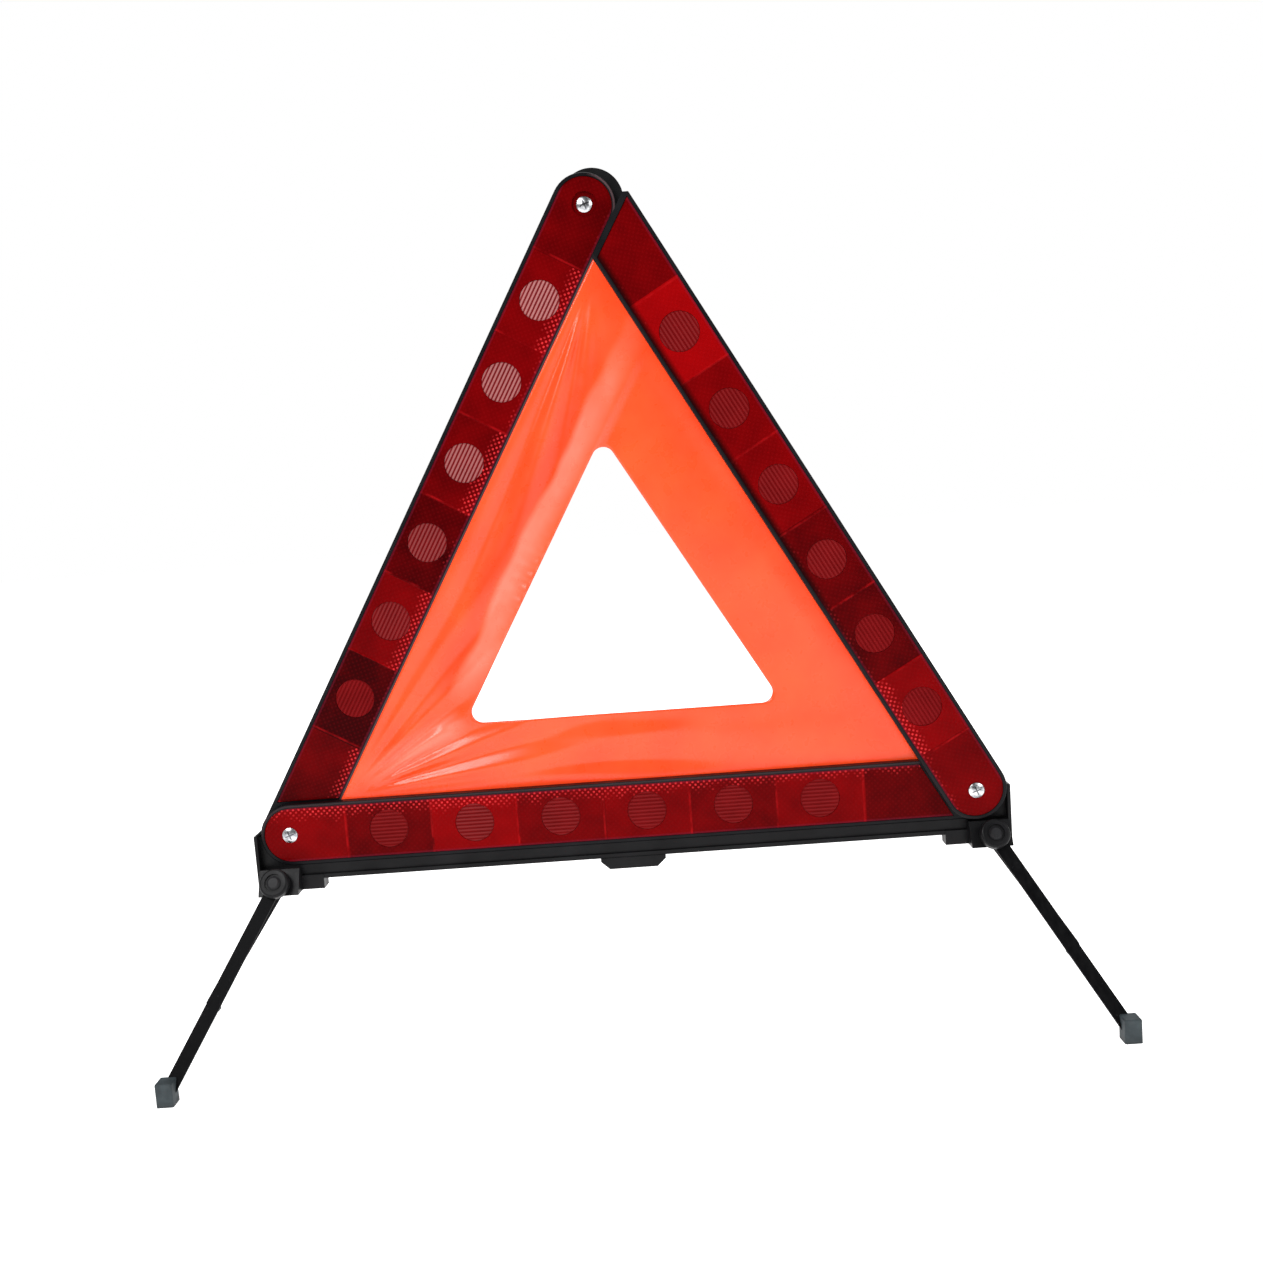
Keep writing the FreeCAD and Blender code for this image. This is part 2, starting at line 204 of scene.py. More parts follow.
# %% Along and across an arm
def on_arm(finish, arm):
    """Distance along and across the arm, in metres, as two sockets."""
    rivet, along, outward = ARMS[arm]
    return finish.measure(along, rivet), finish.measure(outward, rivet)


# %% [markdown]
# ## Black moulded plastic
# The arm housings, the rail, the brackets and the knuckles are black ABS.  It isn't one
# flat black: the tool leaves a fine spark texture, and dust lifts the tone a little in
# patches.  Two noises do that, one in the bump, one in the tone.  The housings also get
# a thin painted highlight where the moulded edge turns over, drawn from the distance to
# the arm's middle line.

# %% Black plastic
def black_finish(name, low, high, grain):
    """Black whose tone drifts from `low` to `high`; returns the finish and its tone."""
    finish = Finish(name, specular_ior_level=0.14)
    tone = finish.mix(finish.band(finish.noise(38.0, 4.0), 0.35, 0.7), low, high)
    finish.roughness(finish.band(finish.noise(90.0, 3.0), 0.3, 0.75, 0.32, 0.5))
    finish.bump(finish.noise(grain, 2.0), 0.00005, 0.6)
    finish.colour(tone)
    return finish, tone


LEGS = [end + "_" + side for end in ("front", "rear") for side in ("left", "right")]
RAIL_BLACK, _ = black_finish("rail_black", (0.0028, 0.0028, 0.0032), (0.0075, 0.0075, 0.0085), 1800.0)
KNUCKLE, _ = black_finish("knuckle_black", (0.0035, 0.0035, 0.0040), (0.0095, 0.0095, 0.0105), 1500.0)
dress(RAIL_BLACK.material, "base_rail", "grip_tab", "left_bracket", "right_bracket", "apex_catch")
dress(KNUCKLE.material, *["leg_" + leg + "_knuckle" for leg in LEGS])

# %% Arm housings
TIP_CENTRE = 0.001                  # the round end's middle, past the rivet
EDGE_LIGHT = (0.0163, 0.0169, 0.0174, 0.0179)   # from the middle line: starts, full, full, ends


def arm_black(arm, edge_highlight_strength):
    """Housing black with a painted highlight line that follows sqrt(across^2 + past the tip^2)."""
    finish, black = black_finish(arm + "_housing_black", (0.0020, 0.0020, 0.0028), (0.0055, 0.0055, 0.0070),
                                 2600.0)
    s, w = on_arm(finish, arm)
    past = finish.math("MAXIMUM", finish.math("SUBTRACT", TIP_CENTRE, s), 0.0)
    squares = finish.math("ADD", finish.times(w, w), finish.times(past, past))
    line = finish.between(finish.math("SQRT", squares), *EDGE_LIGHT)
    inward = finish.band(w, -0.002, 0.006, edge_highlight_strength, 0.0)
    # painted highlight: a thin pinkish line of light on the inner side of the moulded edge
    finish.colour(finish.mix(finish.times(line, inward), black, (0.19, 0.11, 0.12)))
    return finish.material


# strength of the painted edge highlight on each arm
for arm, edge_highlight_strength in (("base", 0.12), ("left", 0.40), ("right", 0.03)):
    dress(arm_black(arm, edge_highlight_strength), arm + "_arm_housing")

# %% [markdown]
# ## The red reflector lens
# A reflector is clear red acrylic whose back is a field of tiny cube corners.  Each arm
# has a row of 50 mm cells with a faint bright seam between them.  The light each cell sends
# back is painted into its colour: where a cell's prisms face the light it gets painted glints
# in rows of diamonds, mostly along the inner edge, and where they don't, it is painted a dark
# wine red.  The diamonds are the product of two saw waves that cross, `along + across` and
# `along - across`.  The lens has almost no mirror gloss, so it stays deep red over a bright
# floor.

# %% Red lens
CELL_EDGES = [DISC_FIRST + DISC_PITCH * (i - 0.5) for i in range(7)]
ARM_END = 0.400
PRISM = 0.00165                     # half pitch of the diamonds
FLASH_REACH = 0.0075                # how much further in a full flash reaches


def red_lens(arm, cell_light_levels, flashes, shade):
    """Acrylic lens: painted light and painted edge glints per cell, and how strong the painted shadow on
    its far inner edge is.
    """
    finish = Finish(arm + "_lens_red", roughness=0.16, ior=1.49, specular_ior_level=0.02)
    s, w = on_arm(finish, arm)
    # painted light: each cell's level of red stands for the light its prisms send back
    tone = finish.steps(s, cell_light_levels, CELL_EDGES, ARM_END)
    cloud = finish.band(finish.noise(55.0, 3.0), 0.3, 0.7, -0.06, 0.06)
    level = finish.math("ADD", tone, cloud, clamp=True)
    deep = finish.mix(level, (0.030, 0.0003, 0.0008), (0.50, 0.0020, 0.0030))
    up = finish.math("PINGPONG", finish.math("ADD", s, w), PRISM)
    down = finish.math("PINGPONG", finish.math("SUBTRACT", s, w), PRISM)
    lattice = finish.math("DIVIDE", finish.times(up, down), PRISM * PRISM)
    glint = finish.band(lattice, 0.25, 0.6)
    # painted glint: a faint sparkle over the whole lattice
    faint_glint = finish.mix(finish.times(glint, 0.05), deep, (0.48, 0.01, 0.015))
    # painted glints: rows of diamonds along the inner edge, reaching further in cells that face the light
    flash = finish.steps(s, flashes, CELL_EDGES, ARM_END)
    ragged = finish.band(finish.noise(210.0, 2.0), 0.3, 0.7, -0.003, 0.003)
    reach = finish.math("ADD", finish.times(flash, -FLASH_REACH), finish.math("ADD", w, ragged))
    inner = finish.band(reach, -0.0205, -0.0150, 1.0, 0.0)
    lit = finish.times(finish.times(inner, glint), finish.math("POWER", flash, 0.5))
    sparkled = finish.mix(lit, faint_glint, (0.66, 0.030, 0.034))
    # painted highlight: a thin purplish line along the lens edge
    rim_highlight = finish.times(finish.band(finish.math("ABSOLUTE", w), 0.0144, 0.0154), 0.4)
    rim_highlighted = finish.mix(rim_highlight, sparkled, (0.17, 0.012, 0.030))
    cell = finish.math("DIVIDE", finish.math("SUBTRACT", s, CELL_EDGES[0]), DISC_PITCH)
    away = finish.math("PINGPONG", cell, 0.5)
    edge = finish.band(away, 0.004, 0.018, 1.0, 0.0)
    broken = finish.band(finish.noise(120.0, 2.0), 0.40, 0.62, 0.02, 0.35)
    seamed = finish.mix(finish.times(edge, broken), rim_highlighted, (0.50, 0.008, 0.010))
    # painted shadow: the far inner edge of the lens darkened
    far_edge = finish.band(w, -0.0150, -0.0118, 1.0, 0.0)
    shadow = finish.times(far_edge, finish.band(s, 0.08, 0.15, 0.0, shade))
    finish.colour(finish.mix(shadow, seamed, (0.008, 0.001, 0.001)))
    finish.bump(finish.math("ADD", lattice, finish.times(edge, 3.0)), 0.00004, 0.5)
    return finish.material


# per arm: painted light level of each cell, painted glint strength of each cell, painted shadow on the far
# inner edge
LENS_LOOK = {                       # tones of the cells, their flashes, shade of the far edge
    "left": (
        (0.15, 0.23, 0.22, 0.16, 0.06, 0.22, 0.00, 0.12),
        (0.15, 0.95, 0.30, 0.95, 0.20, 0.85, 0.10, 0.80), 0.0),
    "right": (
        (0.19, 0.29, 0.09, 0.12, 0.24, 0.22, 0.46, 0.17),
        (0.30, 0.95, 0.30, 0.18, 0.14, 0.10, 0.14, 0.10), 0.9),
    "base": (
        (0.26, 0.13, 0.36, 0.19, 0.25, 0.17, 0.25, 0.11),
        (0.90, 0.80, 0.85, 0.75, 0.75, 0.70, 0.60, 0.40), 0.0),
}
for arm, (cell_light_levels, flashes, shade) in LENS_LOOK.items():
    dress(red_lens(arm, cell_light_levels, flashes, shade), arm + "_arm_lens")

# %% [markdown]
# ## The ribbed discs
# Round fluted inserts break up the strip.  Their straight ribs are real geometry, and
# the finish paints in what the eye sees through the acrylic: a pale pink painted reflection
# of the sky on the flutes at the top of the left arm, a faint painted highlight on every
# crest, and a dull red haze elsewhere.

# %% Ribbed discs
RIB_PITCH = 0.00218


def disc_finish(arm, disc_highlights):
    """Fluted insert; `disc_highlights` gives for each disc how strong its painted sky reflection is."""
    finish = Finish(arm + "_disc_fluted", roughness=0.3, ior=1.49, specular_ior_level=0.02)
    s, w = on_arm(finish, arm)
    # painted reflection of the sky: how strongly each disc shows it
    painted_highlight = finish.steps(s, (disc_highlights[0], *disc_highlights, disc_highlights[-1]), CELL_EDGES, ARM_END)
    rib = finish.math("PINGPONG", finish.math("ADD", w, RIB_PITCH / 2), RIB_PITCH / 2)
    crest = finish.band(rib, RIB_PITCH * 0.10, RIB_PITCH * 0.34)
    haze = finish.band(finish.noise(70.0, 3.0), 0.3, 0.7)
    dull = finish.mix(haze, (0.120, 0.0015, 0.002), (0.165, 0.0030, 0.004))
    # painted highlights on the rib crests: faint on dull discs, pale pink where the sky is reflected
    dull_lit_crests = finish.mix(finish.times(crest, 0.25), dull, (0.22, 0.006, 0.009))
    pale_lit_crests = finish.mix(crest, (0.19, 0.010, 0.014), (0.60, 0.29, 0.28))
    finish.colour(finish.mix(painted_highlight, dull_lit_crests, pale_lit_crests))
    finish.bump(crest, 0.00006, 0.4)
    return finish.material


# how strongly each disc shows the painted reflection of the sky
DISC_LOOK = {
    "left": (0.50, 0.42, 0.35, 0.12, 0.05, 0.01),
    "right": (0.01, 0.01, 0.02, 0.02, 0.02, 0.03),
    "base": (0.02, 0.05, 0.03, 0.02, 0.02, 0.02),
}
for arm, disc_highlights in DISC_LOOK.items():
    dress(disc_finish(arm, disc_highlights), arm + "_arm_discs")

# %% [markdown]
# ## Metal and rubber
# The corner rivets are zinc plated, bright with faint turning rings, a mottled plate and a
# cross stamped in the head, coloured dark as painted shade in its recess.  The leg pins are
# blackened.  The leg strips are spring steel painted satin black, with longer grain along
# the strip and paint that has worn thin in specks.  The feet are grey rubber caps.

# %% Zinc rivets
CROSS_ANGLE = 20.0                  # degrees that the stamped cross is turned
RING_PITCH = 0.00035                # half pitch of the turning rings


def zinc(name, centre):
    """Plated head: rings in the distance from the middle, and a cross of two thin bars, painted dark as
    shade in its recess.
    """
    finish = Finish(name, metallic=1.0)
    mottled = finish.noise(430.0, 3.0)
    plated = finish.mix(finish.band(mottled, 0.35, 0.65), (0.30, 0.31, 0.33), (0.88, 0.89, 0.90))
    x = finish.measure((1.0, 0.0), centre)
    z = finish.measure((0.0, 1.0), centre)
    radius = finish.math("SQRT", finish.math("ADD", finish.times(x, x), finish.times(z, z)))
    rings = finish.math("PINGPONG", radius, RING_PITCH)
    p = finish.math("ABSOLUTE", finish.measure(heading(CROSS_ANGLE), centre))
    q = finish.math("ABSOLUTE", finish.measure(heading(CROSS_ANGLE + 90.0), centre))
    bar = finish.band(finish.math("MINIMUM", p, q), 0.00022, 0.00055, 1.0, 0.0)
    cross = finish.times(bar, finish.band(radius, 0.0024, 0.0030, 1.0, 0.0))
    # painted shade: the stamped cross is coloured dark
    finish.colour(finish.mix(cross, plated, (0.11, 0.11, 0.12)))
    finish.roughness(finish.band(mottled, 0.25, 0.75, 0.18, 0.36))
    finish.bump(finish.math("SUBTRACT", rings, finish.times(cross, 3.0)), 0.00003, 0.35)
    return finish.material


for arm, node in (("base", "left_pivot_rivet"), ("right", "right_pivot_rivet"), ("left", "apex_rivet")):
    dress(zinc(node + "_zinc", ARMS[arm][0]), node)

# %% Blackened leg pins
PIN_BLACK, _ = black_finish("pin_blackened", (0.010, 0.010, 0.011), (0.026, 0.026, 0.028), 1200.0)
dress(PIN_BLACK.material, *["leg_" + leg + "_pin" for leg in LEGS])

# %% Painted steel strips
STRIP = Finish("strip_painted_steel", specular_ior_level=0.03)
grain = STRIP.noise(60.0, 4.0, STRIP.scaled((6.0, 6.0, 1.0)))
specks = STRIP.band(STRIP.noise(700.0, 2.0), 0.68, 0.74)
paint = STRIP.mix(STRIP.band(grain, 0.3, 0.7), (0.0028, 0.0028, 0.0033), (0.0062, 0.0062, 0.0067))
STRIP.colour(STRIP.mix(STRIP.times(specks, 0.3), paint, (0.04, 0.04, 0.043)))
STRIP.roughness(STRIP.band(grain, 0.25, 0.75, 0.34, 0.52))
STRIP.bump(STRIP.noise(1400.0, 2.0), 0.00004, 0.4)
dress(STRIP.material, *["leg_" + leg + "_strip" for leg in LEGS])

# %% Rubber feet
FOOT = Finish("foot_rubber_grey", roughness=0.62, specular_ior_level=0.35)
bloom = FOOT.noise(160.0, 4.0)
# darker towards the ground over the lowest 4 mm of each foot
darker_at_bottom = FOOT.band(FOOT.measure((0.0, 1.0)), 0.0, 0.004, 1.0, 0.0)
body_grey = FOOT.mix(FOOT.band(bloom, 0.3, 0.7), (0.018, 0.026, 0.030), (0.040, 0.054, 0.060))
FOOT.colour(FOOT.mix(FOOT.times(darker_at_bottom, 0.5), body_grey, (0.016, 0.017, 0.019)))
FOOT.bump(FOOT.noise(900.0, 3.0), 0.00008, 0.7)
dress(FOOT.material, *["leg_" + leg + "_foot" for leg in LEGS])

# %% [markdown]
# ## The orange film
# The film is one sheet of thin glossy PVC with a three-sided window.  It is held along
# the arms and hangs free round the window, so it pulls into folds that fan out from the
# lower left corner and run down from the top beside the left arm.  A simulation would
# crease it somewhere else each time, so the folds are placed by formula: rays from a
# corner, each a narrow ridge in angle that fades with distance.

# %% The outline of the film
FILM_LOW, FILM_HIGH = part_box("signal_film")
FILM_Y = (FILM_LOW[1] + FILM_HIGH[1]) / 2.0
WINDOW_SIDE = 0.185
WINDOW_INNER = WINDOW_SIDE / math.sqrt(12.0)     # middle of the window to a side
WINDOW_LOW = BASE_Z + 0.0577
WINDOW_ROUND = 0.0065
TUCKED = 0.010                      # film's edge from the middle of the base and right arms
TUCKED_LEFT = 0.0177                # and of the left arm, which lies behind it
FAR = 1e9
ALMOST_ZERO = 1e-9


def inward_line(arm, offset):
    """Line (normal, distance) that lies `offset` inside an arm's centre line, normal outward."""
    rivet, _, outward = ARMS[arm]
    return outward, float(outward @ rivet) - offset


FILM_LINES = [inward_line("base", TUCKED), inward_line("right", TUCKED), inward_line("left", TUCKED_LEFT)]
EDGE_LINES = [inward_line(arm, ARM_HALF) for arm in ARMS]
CENTRE = np.array([0.0, WINDOW_LOW + WINDOW_INNER])
WINDOW_LINES = [(heading(a), WINDOW_INNER - WINDOW_ROUND) for a in (-90.0, 30.0, 150.0)]
print("film plane y %.4f m, window middle" % FILM_Y, CENTRE.round(4))


def rays_to_lines(directions, lines, origin):
    """Distance from `origin` along each direction to the nearest of the lines ahead."""
    reach = np.full(len(directions), FAR)
    for normal, distance in lines:
        slope = directions @ normal
        gap = distance - float(origin @ normal)
        ahead = gap / np.maximum(slope, ALMOST_ZERO)
        reach = np.where(slope > ALMOST_ZERO, np.minimum(reach, ahead), reach)
    return reach


def triangle_gap(points):
    """Signed distance from points about the window's middle to its inset triangle."""
    inner = np.stack([points @ n - d for n, d in WINDOW_LINES], axis=-1)
    inside = inner.max(axis=-1)
    half = WINDOW_SIDE / 2 - WINDOW_ROUND * math.sqrt(3.0)
    nearest = np.full(len(points), FAR)
    for normal, distance in WINDOW_LINES:
        along = np.array([-normal[1], normal[0]])
        slide = np.clip(points @ along, -half, half)
        foot = normal * distance + slide[:, None] * along
        nearest = np.minimum(nearest, np.linalg.norm(points - foot, axis=1))
    return np.where(inside > 0, nearest, -nearest)


def rays_to_window(directions):
    """Distance from the window's middle to its rounded edge, by halving."""
    low = np.zeros(len(directions))
    high = np.full(len(directions), WINDOW_SIDE)
    for _ in range(40):
        mid = (low + high) / 2
        outside = triangle_gap(directions * mid[:, None]) > WINDOW_ROUND
        high = np.where(outside, mid, high)
        low = np.where(outside, low, mid)
    return (low + high) / 2


# %% [markdown]
# ## The folds
# Each fold is a ridge: a bell curve in the angle round its corner, which starts a little
# way out and dies away.  The rest is a sum of small shapes: ripples beside the left arm, a
# slow swell, a pressed band beside the window, swags above the base arm and one short
# kink.  All of it fades out where an arm holds the sheet flat.

# %% Folds that fan out
def soft_step(value, low, high):
    """Smooth rise from 0 at `low` to 1 at `high`: 3t^2 - 2t^3."""
    t = np.clip((value - low) / (high - low), 0.0, 1.0)
    return t * t * (3.0 - 2.0 * t)


LOWER_LEFT = np.array([-0.1670, 0.1490])
TOP_CORNER = np.array([0.0015, 0.4385])
CORNER_FOLDS = [                    # angle, half width, height, reach, fade
    (3.5, 1.6, 0.0008, 0.180, 0.060),
    (8.0, 1.7, -0.0010, 0.200, 0.070),
    (13.0, 2.0, 0.0017, 0.150, 0.050),
    (18.5, 1.8, -0.0013, 0.130, 0.045),
    (23.5, 1.7, 0.0018, 0.085, 0.020),
    (29.5, 2.2, -0.0016, 0.075, 0.016),
    (35.0, 2.2, 0.0016, 0.090, 0.030),
    (41.0, 2.4, -0.0013, 0.130, 0.050),
    (47.0, 2.3, 0.0013, 0.160, 0.060),
    (53.0, 2.0, -0.0010, 0.170, 0.060),
]
TOP_FOLDS = [
    (238.5, 1.7, -0.0016, 0.210, 0.090),
    (243.5, 2.1, 0.0022, 0.240, 0.090),
    (249.0, 2.3, -0.0020, 0.190, 0.070),
    (255.0, 2.5, 0.0017, 0.120, 0.045),
    (262.0, 3.0, -0.0010, 0.100, 0.040),
    (272.0, 4.0, 0.0006, 0.090, 0.040),
]
print("folds:", len(CORNER_FOLDS), "from the corner,", len(TOP_FOLDS), "from the top")


def fan(points, corner, folds):
    """Sum of ridges: height * exp(-(angle off / half width)^2) * rise * fade along the ray."""
    away = points - corner
    radius = np.linalg.norm(away, axis=1)
    angle = np.degrees(np.arctan2(away[:, 1], away[:, 0])) % 360.0
    total = np.zeros(len(points))
    for at, width, height, reach, fade in folds:
        off = (angle - at + 180.0) % 360.0 - 180.0
        narrow = width * (1.0 + 0.012 / (radius + 0.01))
        ridge = np.exp(-(off / narrow) ** 2)
        along = soft_step(radius, 0.004, 0.045) * (1.0 - soft_step(radius, reach - fade, reach + fade))
        total += height * ridge * along
    return total


# %% Ripples, swell, band, swags and kink
RIPPLE_HEIGHT = 0.0005
RIPPLE_PITCH = 0.0042
RIPPLE_FADE = 0.030
SWELL_HEIGHT = 0.0009
BAND_DEPTH = 0.0026
BAND_WIDTH = 0.0145
SWAG_HEIGHT = 0.0010
SWAG_PITCH = 0.0058
SWAG_FOOT = 0.150                   # above the ground
KINK_HEIGHT = 0.0011
KINK_PLACE = np.array([-0.0985, 0.1855])
KINK_SIZE = np.array([0.0075, 0.0022])


def ripples(points):
    """Waves beside the left arm: sin(distance in / pitch), fading inward and at the foot."""
    inward = EDGE_LINES[2][1] - points @ EDGE_LINES[2][0]
    up = (points - LOWER_LEFT) @ heading(60.0)
    wave = np.sin(inward / RIPPLE_PITCH + 1.3 * np.sin(up / 0.035))
    return RIPPLE_HEIGHT * wave * np.exp(-(inward / RIPPLE_FADE) ** 2) * soft_step(up, 0.02, 0.09)


def swell(points):
    """Slow swell of the whole sheet: one sine across it times one up it."""
    x, z = points.T
    return SWELL_HEIGHT * np.sin(x / 0.027 + z / 0.041) * np.sin(z / 0.033 + 0.6)


def pressed_band(points):
    """Ramp down to the window's left side, crossed by a ladder of fine creases."""
    beside = -(points - CENTRE) @ heading(150.0) + WINDOW_INNER
    up = (points - CENTRE) @ heading(60.0)
    ramp = np.clip(1.0 + beside / (BAND_WIDTH + 0.002 * np.sin(up / 0.03)), 0.0, 1.0)
    ramp *= 1.0 - soft_step(beside, -0.001, 0.004)
    ladder = 1.0 + 0.10 * np.sin(up / 0.0013) * np.exp(-(up / 0.035) ** 2)
    ends = soft_step(up, -0.075, -0.035) * (1 - soft_step(up, 0.10, 0.17))
    return BAND_DEPTH * ramp * ladder * ends


def swags(points):
    """Swags above the base arm: sin(height / pitch), strongest just left of the middle."""
    x = points[:, 0]
    above = points[:, 1] - SWAG_FOOT
    swag = np.sin(above / SWAG_PITCH + 1.6 * np.sin(x / 0.052)) * np.exp(-((x + 0.02) / 0.085) ** 2)
    return SWAG_HEIGHT * swag * soft_step(x, -0.13, -0.06) * (1 - soft_step(above, 0.022, 0.036))


def kink(points):
    """One short kink left of the window: a bell, wider than it is high."""
    off = (points - KINK_PLACE) / KINK_SIZE
    return KINK_HEIGHT * np.exp(-(off ** 2).sum(axis=1))


# %% The height of the film
HELD_FADE = 0.012                   # flat at an arm's edge, free this far in


def film_height(points):
    """Depth of the film's middle surface behind y = 0 at each (x, z)."""
    height = fan(points, LOWER_LEFT, CORNER_FOLDS) + fan(points, TOP_CORNER, TOP_FOLDS)
    height += ripples(points)
    height += swell(points)
    height -= pressed_band(points)
    height += swags(points)
    height += kink(points)
    held = np.min(np.stack([d - points @ n for n, d in EDGE_LINES], axis=-1), axis=-1)
    return FILM_Y + height * soft_step(held, 0.0, HELD_FADE)


print("film at the window's middle line: y %.4f m" % film_height(CENTRE[None, :])[0])

# %% [markdown]
# ## From outline to sheet
# The ring between the window and the outer edge is a grid: one parameter goes round, the
# other goes out.  The angles include every corner, so no corner is cut off.  A Solidify
# modifier then gives the film its thickness.

# %% Make the film
AROUND = 600
ACROSS = 46


def ring_area(ring):
    """Area inside a closed ring of points: half the sum of x * next z - next x * z."""
    x, z = ring.T
    return 0.5 * abs(np.sum(x * np.roll(z, -1) - np.roll(x, -1) * z))


def film_piece():
    """Grid of rays by steps: point = window edge + v * (outer edge - window edge)."""
    corners = []
    for i, (na, da) in enumerate(FILM_LINES):
        for nb, db in FILM_LINES[i + 1:]:
            spot = np.linalg.solve(np.stack([na, nb]), np.array([da, db]))
            if all(spot @ n <= d + 1e-6 for n, d in FILM_LINES):
                corners.append(math.atan2(*(spot - CENTRE)[::-1]) % (2 * math.pi))
    turn = np.linspace(0.0, 2.0 * math.pi, AROUND, endpoint=False)
    for angle in corners:
        turn[np.argmin(np.abs(turn - angle))] = angle
    turn.sort()
    directions = np.stack([np.cos(turn), np.sin(turn)], axis=1)
    start = rays_to_window(directions)
    end = rays_to_lines(directions, FILM_LINES, CENTRE)
    out = np.linspace(0.0, 1.0, ACROSS)
    reach = start[:, None] + (end - start)[:, None] * out[None, :]
    flat = (CENTRE + directions[:, None, :] * reach[:, :, None]).reshape(-1, 2)
    points = np.stack([flat[:, 0], film_height(flat), flat[:, 1]], axis=1)
    i = np.arange(AROUND)[:, None] * ACROSS
    j = np.arange(ACROSS - 1)[None, :]
    k = (np.arange(AROUND)[:, None] + 1) % AROUND * ACROSS
    faces = np.stack([i + j, i + j + 1, k + j + 1, k + j], axis=-1).reshape(-1, 4)
    mesh = bpy.data.meshes.new("signal_film_sheet")
    mesh.from_pydata(points.tolist(), [], faces.tolist())
    mesh.shade_smooth()
    piece = bpy.data.objects.new("signal_film_sheet", mesh)
    bpy.context.scene.collection.objects.link(piece)
    rings = flat.reshape(AROUND, ACROSS, 2)
    area = ring_area(rings[:, -1]) - ring_area(rings[:, 0])
    width, length = np.ptp(flat, axis=0)
    return piece, area, float(width), float(length)


film, film_area, film_width, film_length = film_piece()
print("film: %.4f x %.4f m, area %.5f m2" % (film_width, film_length, film_area))

# %% [markdown]
# ## The film's finish
# Fluorescent PVC glows a little, because it turns blue light into orange, so a small
# share of its colour is given out as light.  A thin coat of gloss makes the folds read,
# and there is a faint mottle where the sheet has been folded and stored.  Painted
# highlights make the vinyl pale in a band beside the window and along a crease from the
# lower left corner to the window, and a painted shade darkens a strip beside the band.

# %% Orange film finish
FILM = Finish("film_orange_pvc", coat_weight=0.32, coat_roughness=0.18, specular_ior_level=0.3,
              emission_strength=0.22)
mottle = FILM.noise(26.0, 5.0)
tint = FILM.mix(FILM.band(mottle, 0.3, 0.72), (0.97, 0.052, 0.007), (1.0, 0.076, 0.014))
out = FILM.measure(heading(150.0), CENTRE + WINDOW_INNER * heading(150.0))
up = FILM.measure(heading(60.0), CENTRE)
wander = FILM.band(FILM.noise(14.0, 2.0), 0.3, 0.7, -0.003, 0.003)
off = FILM.math("ADD", out, wander)
# painted highlight: a pale band beside the window's left side
side = FILM.between(off, -0.002, 0.008, 0.0130, 0.0165)
ends = FILM.between(up, -0.085, -0.055, 0.08, 0.17)
cloudy = FILM.band(FILM.noise(60.0, 3.0), 0.3, 0.7, 0.75, 1.0)
band_highlight = FILM.times(FILM.times(side, ends), cloudy)

# %% Painted highlight along the crease from the corner, painted shade in the strip beside the band
CREASE_ANGLE = 27.4                 # degrees, from the film's lower left corner to the window's
CREASE_LIFT = 0.002                 # the crease runs this far above the straight line
run = FILM.measure(heading(CREASE_ANGLE), LOWER_LEFT)
lift = FILM.measure(heading(CREASE_ANGLE + 90.0), LOWER_LEFT)
lift = FILM.math("ABSOLUTE", FILM.math("SUBTRACT", lift, CREASE_LIFT))
crease_highlight = FILM.times(FILM.band(lift, 0.002, 0.010, 1.0, 0.0), FILM.between(run, 0.012, 0.045, 0.074, 0.086))
painted_highlight = FILM.math("MAXIMUM", band_highlight, FILM.times(crease_highlight, 0.8))
# painted shade: a darker strip just outside the pale band
valley_shade = FILM.times(FILM.band(off, 0.0150, 0.0180), FILM.band(off, 0.0230, 0.0300, 0.7, 0.0))
tint = FILM.mix(FILM.times(valley_shade, ends), tint, (0.94, 0.036, 0.004))
# the painted highlight colour
tint = FILM.mix(painted_highlight, tint, (1.0, 0.165, 0.105))
FILM.colour(tint)
FILM.join(tint, FILM.shader.inputs["Emission Color"])
FILM.roughness(FILM.band(FILM.noise(140.0, 3.0), 0.3, 0.7, 0.24, 0.36))
FILM.bump(FILM.noise(420.0, 3.0), 0.00006, 0.35)
film.data.materials.append(FILM.material)
print(FILM.material.name, "nodes:", len(FILM.tree.nodes))

# %% Thickness, and what the sheet stands for
FILM_THICK = 0.0003
thick = film.modifiers.new("thickness", "SOLIDIFY")
thick.thickness = FILM_THICK
thick.offset = 0.0
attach(film, "base")
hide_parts("signal_film")
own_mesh(film)

# %% [markdown]
# ## Floor, light and camera
# A pale floor and large soft lights.  The floor gives out light of its own, so it stays
# white up to the horizon.  The room is white to the camera but dim as a light, so that
# black and deep red aren't washed out.  The camera stands low and close, a little rolled,
# as one is held by hand.

# %% Floor
FLOOR_HALF = 7.0
FLOOR_GLOW = 0.97
floor_mesh = bpy.data.meshes.new("floor")
corner = np.array([(-1, -1, 0), (1, -1, 0), (1, 1, 0), (-1, 1, 0)]) * FLOOR_HALF
floor_mesh.from_pydata(corner.tolist(), [], [(0, 1, 2, 3)])
floor = bpy.data.objects.new("floor", floor_mesh)
bpy.context.scene.collection.objects.link(floor)
PAPER = Finish("floor_paper", roughness=0.85, specular_ior_level=0.1, emission_strength=FLOOR_GLOW)
paper = PAPER.mix(PAPER.band(PAPER.noise(3.0, 2.0), 0.3, 0.7), (0.86, 0.86, 0.86), (0.88, 0.88, 0.88))
PAPER.colour(paper)
PAPER.join(paper, PAPER.shader.inputs["Emission Color"])
floor_mesh.materials.append(PAPER.material)
print("floor: %.0f m square" % (2 * FLOOR_HALF))

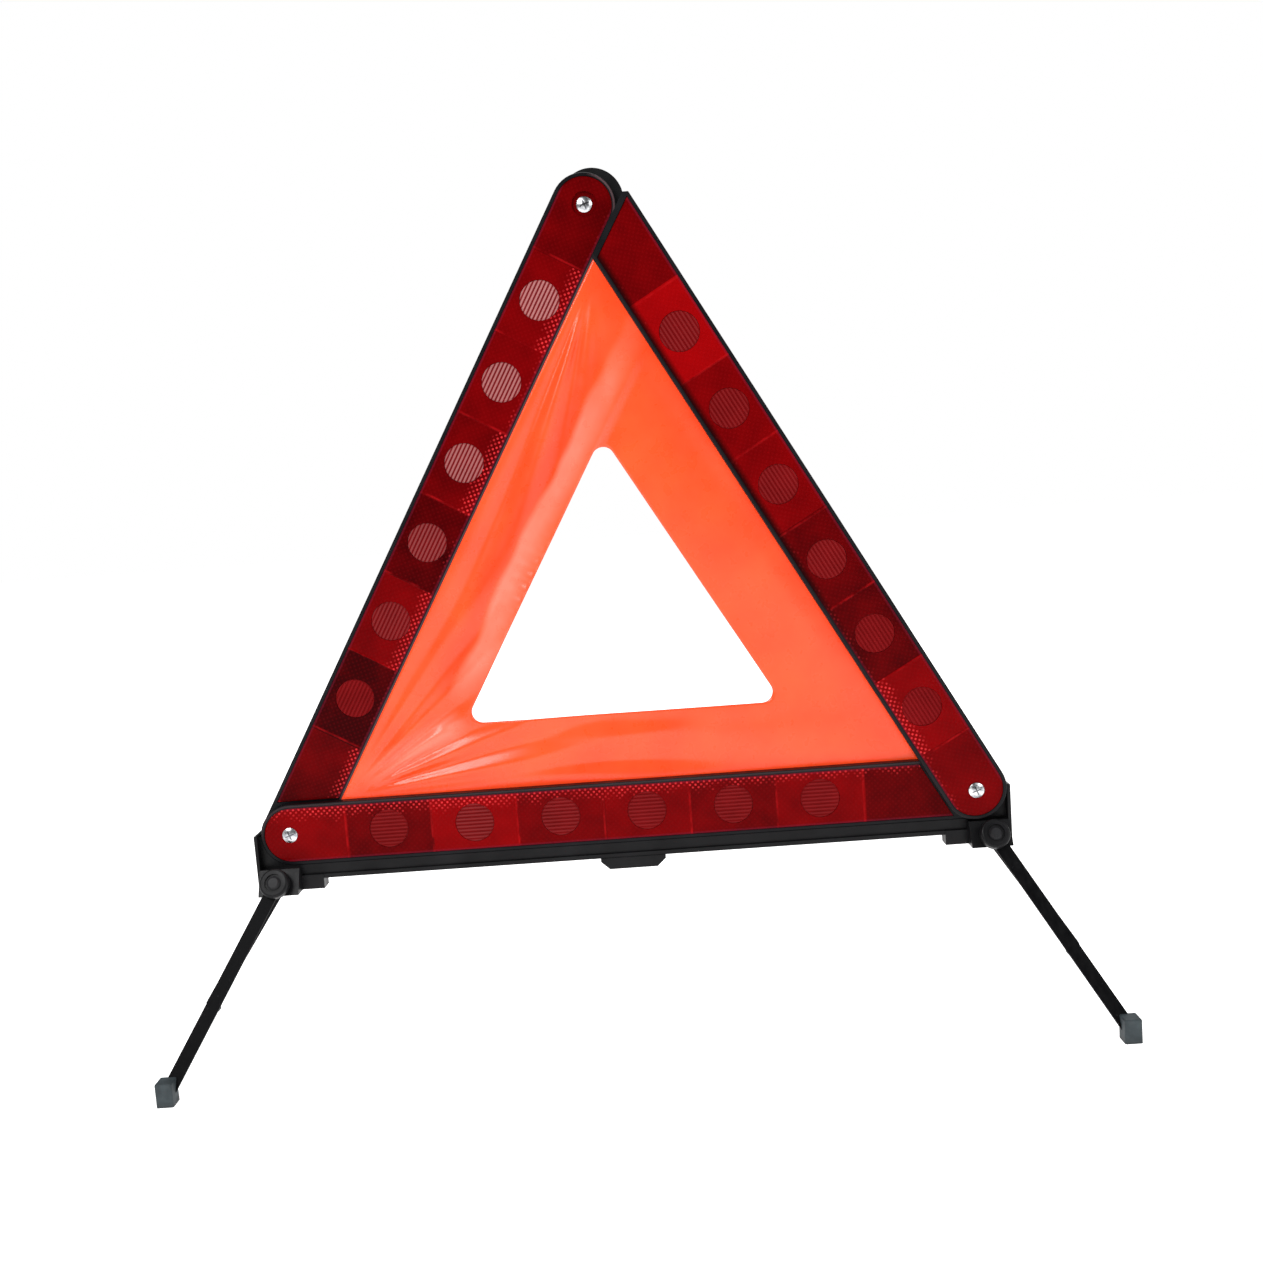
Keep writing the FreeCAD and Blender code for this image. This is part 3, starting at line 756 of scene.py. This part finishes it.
# %% World: white to the eye, dimmer as a light
ROOM_LIGHT = 0.22                   # strength for every ray but the camera's
world = bpy.data.worlds.new("studio")
bpy.context.scene.world = world
world.use_nodes = True
sky = world.node_tree
back = sky.nodes["Background"]
glow = sky.nodes.new("ShaderNodeBackground")
choose = sky.nodes.new("ShaderNodeMixShader")
path = sky.nodes.new("ShaderNodeLightPath")
back.inputs["Color"].default_value = (1, 1, 1, 1)
back.inputs["Strength"].default_value = ROOM_LIGHT
glow.inputs["Color"].default_value = (1, 1, 1, 1)
glow.inputs["Strength"].default_value = 1.0
sky.links.new(path.outputs["Is Camera Ray"], choose.inputs[0])
sky.links.new(back.outputs[0], choose.inputs[1])
sky.links.new(glow.outputs[0], choose.inputs[2])
sky.links.new(choose.outputs[0], sky.nodes["World Output"].inputs["Surface"])
print("room light:", ROOM_LIGHT)

# %% Lights
LIGHT_AIM = Vector((0.0, 0.0, 0.25))


def soft_light(name, place, power, size):
    """Square area light, `size` metres wide, that looks at the object."""
    lamp = bpy.data.lights.new(name, "AREA")
    lamp.energy = power
    lamp.size = size
    holder = bpy.data.objects.new(name, lamp)
    turn = (LIGHT_AIM - Vector(place)).to_track_quat("-Z", "Y")
    holder.matrix_world = Matrix.Translation(place) @ turn.to_matrix().to_4x4()
    bpy.context.scene.collection.objects.link(holder)
    print(name, power, "W")


soft_light("key", (-0.9, -1.3, 1.5), 26.0, 0.9)
soft_light("fill", (1.4, -1.1, 1.0), 10.0, 1.0)
soft_light("top", (0.1, 0.3, 1.9), 12.0, 1.2)
soft_light("rear", (0.3, 1.6, 1.2), 12.0, 1.0)

# %% Camera
CAMERA_PLACE = (0.0232, -0.7440, 0.3203)
CAMERA_TURN = (1.68462, -0.04662, -0.07088)     # rotation vector, frame to lens axes
LENS_RATIO = 1.300 / 1.263                      # focal length over picture width
SENSOR = 36.0
angle = Vector(CAMERA_TURN).length
to_lens = Matrix.Rotation(angle, 3, Vector(CAMERA_TURN).normalized())
right, down, ahead = to_lens[0], to_lens[1], to_lens[2]
turned = Matrix((right, -down, -ahead)).transposed()
lens = bpy.data.cameras.new("camera")
lens.sensor_width = SENSOR
lens.lens = SENSOR * LENS_RATIO
camera = bpy.data.objects.new("camera", lens)
camera.matrix_world = Matrix.Translation(CAMERA_PLACE) @ turned.to_4x4()
bpy.context.scene.collection.objects.link(camera)
bpy.context.scene.camera = camera
bpy.context.scene.view_settings.view_transform = "Standard"
print("camera at", CAMERA_PLACE, "lens %.1f mm" % lens.lens)
